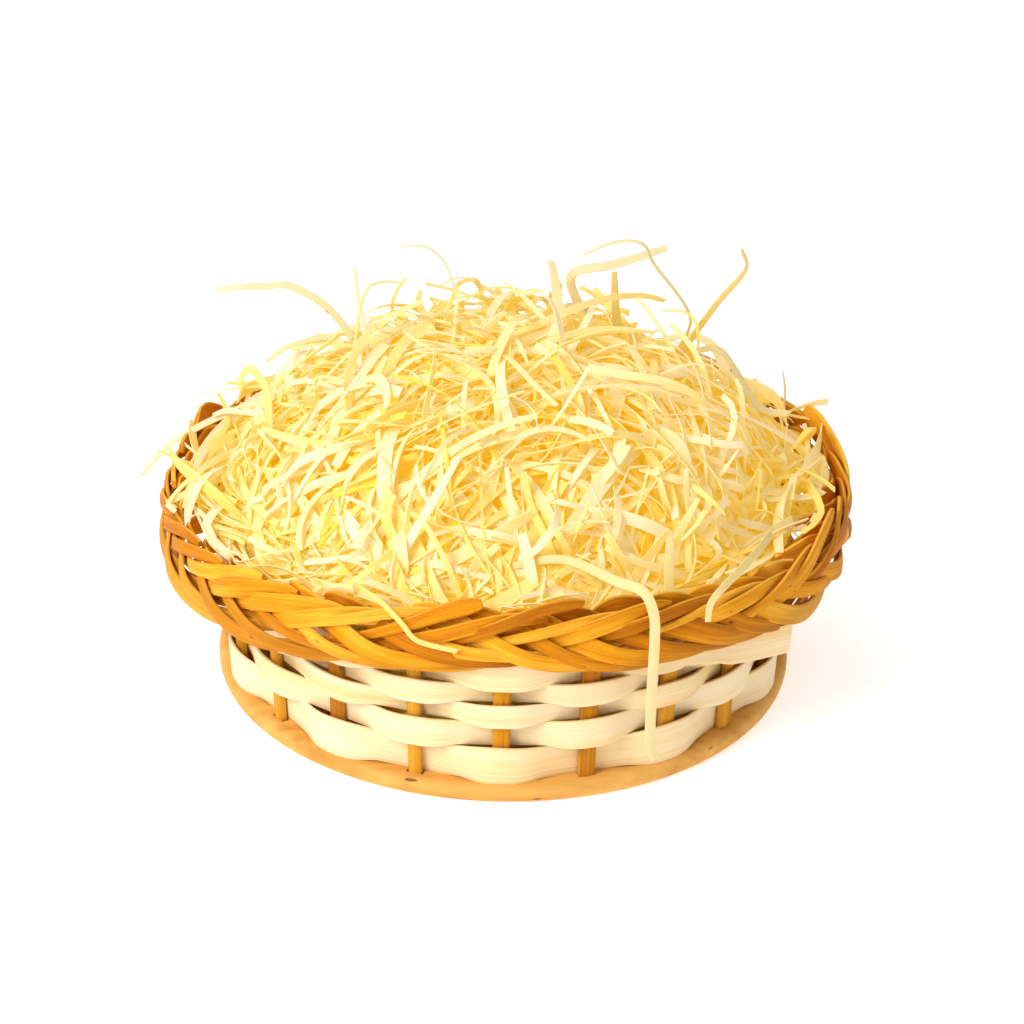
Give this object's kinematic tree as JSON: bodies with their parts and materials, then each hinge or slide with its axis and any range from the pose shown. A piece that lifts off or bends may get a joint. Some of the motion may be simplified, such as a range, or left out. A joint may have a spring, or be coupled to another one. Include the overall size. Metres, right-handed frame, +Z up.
{
  "type": "easter basket",
  "caption": "Round woven gift basket: wooden base, split-willow stakes, flat woven strips, a flared plaited rim and a heap of loose wood-wool filling",
  "frame": {"origin": "the middle of the base board's underside, where the basket stands", "axes": "+Z up; -Y towards the front, where the rim stands highest and a strand hangs over it; +X to the right seen from the front, the side of the top strip's loose end"},
  "size_m": [0.2314, 0.209, 0.1323],
  "materials": {
    "board": "satin",
    "willow": "satin",
    "strip": "matte",
    "wood_wool": "matte"
  },
  "bodies": {
    "basket": {"base_board": "board", "stake_01": "willow", "stake_02": "willow", "stake_03": "willow", "stake_04": "willow", "stake_05": "willow", "stake_06": "willow", "stake_07": "willow", "stake_08": "willow", "stake_09": "willow", "stake_10": "willow", "stake_11": "willow", "stake_12": "willow", "stake_13": "willow", "stake_14": "willow", "stake_15": "willow", "stake_16": "willow", "stake_17": "willow", "stake_18": "willow", "stake_19": "willow", "stake_20": "willow", "bye_stake_01": "willow", "bye_stake_02": "willow", "bye_stake_03": "willow", "bye_stake_04": "willow", "bye_stake_05": "willow", "bye_stake_06": "willow", "bye_stake_07": "willow", "bye_stake_08": "willow", "bye_stake_09": "willow", "bye_stake_10": "willow", "bye_stake_11": "willow", "bye_stake_12": "willow", "bye_stake_13": "willow", "bye_stake_14": "willow", "bye_stake_15": "willow", "bye_stake_16": "willow", "bye_stake_17": "willow", "bye_stake_18": "willow", "bye_stake_19": "willow", "bye_stake_20": "willow", "woven_strip_1": "strip", "woven_strip_2": "strip", "woven_strip_3": "strip", "woven_strip_4": "strip", "woven_strip_5": "strip"},
    "filling": {"wood_wool_heap": "wood_wool", "shred_left_high": "wood_wool", "shred_over_left_rim": "wood_wool", "shred_top_flat": "wood_wool", "shred_high_arch": "wood_wool", "shred_right_curl": "wood_wool", "shred_upright": "wood_wool", "shred_draped": "wood_wool"}
  },
  "joints": [
    {"name": "lift_out", "type": "slide", "parent": "basket", "child": "filling", "axis": [0, 0, 1], "range_m": [0, 0.085]}
  ]
}
